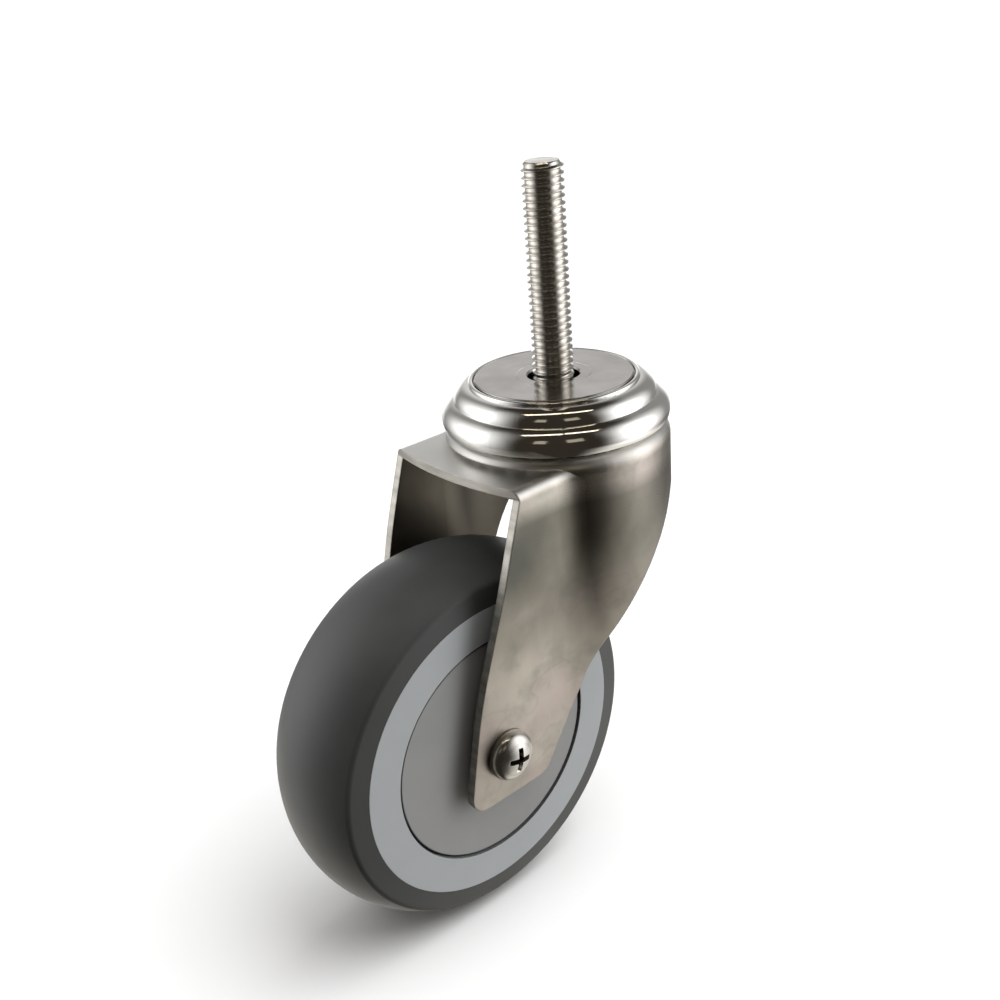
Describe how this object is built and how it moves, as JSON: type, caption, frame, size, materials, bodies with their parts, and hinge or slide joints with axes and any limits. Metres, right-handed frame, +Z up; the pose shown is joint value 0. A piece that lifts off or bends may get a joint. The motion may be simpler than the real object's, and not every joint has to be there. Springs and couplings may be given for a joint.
{
  "type": "swivel castor",
  "caption": "Swivel castor with a threaded stem, a stepped ball-race head, a pressed one-piece fork and a soft grey wheel that runs on ball bearings.",
  "frame": {"origin": "on the swivel axis, in the plane of the head's flat top face, at the foot of the stem", "axes": "+Z up the stem; the wheel trails towards -X; the axle runs along Y, with the screw's head at -Y"},
  "size_m": [0.1082, 0.0525, 0.1662],
  "materials": {
    "polished_steel": "polished stainless steel",
    "satin_steel": "satin pressed stainless steel",
    "machined_steel": "turned stainless steel",
    "bolt_steel": "bright bolt steel",
    "bearing_steel": "ground bearing steel",
    "tread_rubber": "matte grey soft tread",
    "core_plastic": "moulded light grey plastic",
    "guard_plastic": "moulded mid grey plastic",
    "nylon": "nylon"
  },
  "bodies": {
    "head": {"stem_bolt": "bolt_steel", "lock_washer": "bolt_steel", "kingpin": "machined_steel", "top_washer": "machined_steel", "swivel_cap": "polished_steel", "lower_race": "machined_steel"},
    "fork": {"fork": "satin_steel", "axle_screw": "polished_steel", "axle_nut": "bolt_steel", "nut_insert": "nylon", "axle_bush": "machined_steel", "axle_spacer_screw_side": "machined_steel", "axle_spacer_nut_side": "machined_steel", "bearing_inner_screw_side": "bearing_steel", "bearing_inner_nut_side": "bearing_steel"},
    "wheel": {"tread": "tread_rubber", "wheel_core": "core_plastic", "thread_guard_screw_side": "guard_plastic", "thread_guard_nut_side": "guard_plastic", "bearing_outer_screw_side": "bearing_steel", "bearing_outer_nut_side": "bearing_steel", "bearing_shields_screw_side": "machined_steel", "bearing_shields_nut_side": "machined_steel"},
    "swivel_balls": {"upper_balls": "bearing_steel", "lower_balls": "bearing_steel"},
    "wheel_balls": {"bearing_balls_screw_side": "bearing_steel", "bearing_balls_nut_side": "bearing_steel"}
  },
  "joints": [
    {"name": "swivel", "type": "hinge", "parent": "head", "child": "fork", "pos_m": [0, 0, 0], "axis": [0, 0, 1], "continuous": true},
    {"name": "wheel_spin", "type": "hinge", "parent": "fork", "child": "wheel", "pos_m": [-0.0378, 0, -0.0748], "axis": [0, 1, 0], "continuous": true},
    {"name": "swivel_ball_orbit", "type": "hinge", "parent": "head", "child": "swivel_balls", "pos_m": [0, 0, 0], "axis": [0, 0, 1], "continuous": true},
    {"name": "wheel_ball_orbit", "type": "hinge", "parent": "fork", "child": "wheel_balls", "pos_m": [-0.0378, 0, -0.0748], "axis": [0, 1, 0], "continuous": true}
  ],
  "couplings": [
    {"joint": "swivel_ball_orbit", "follows": "swivel", "ratio": 0.5},
    {"joint": "wheel_ball_orbit", "follows": "wheel_spin", "ratio": 0.625}
  ]
}
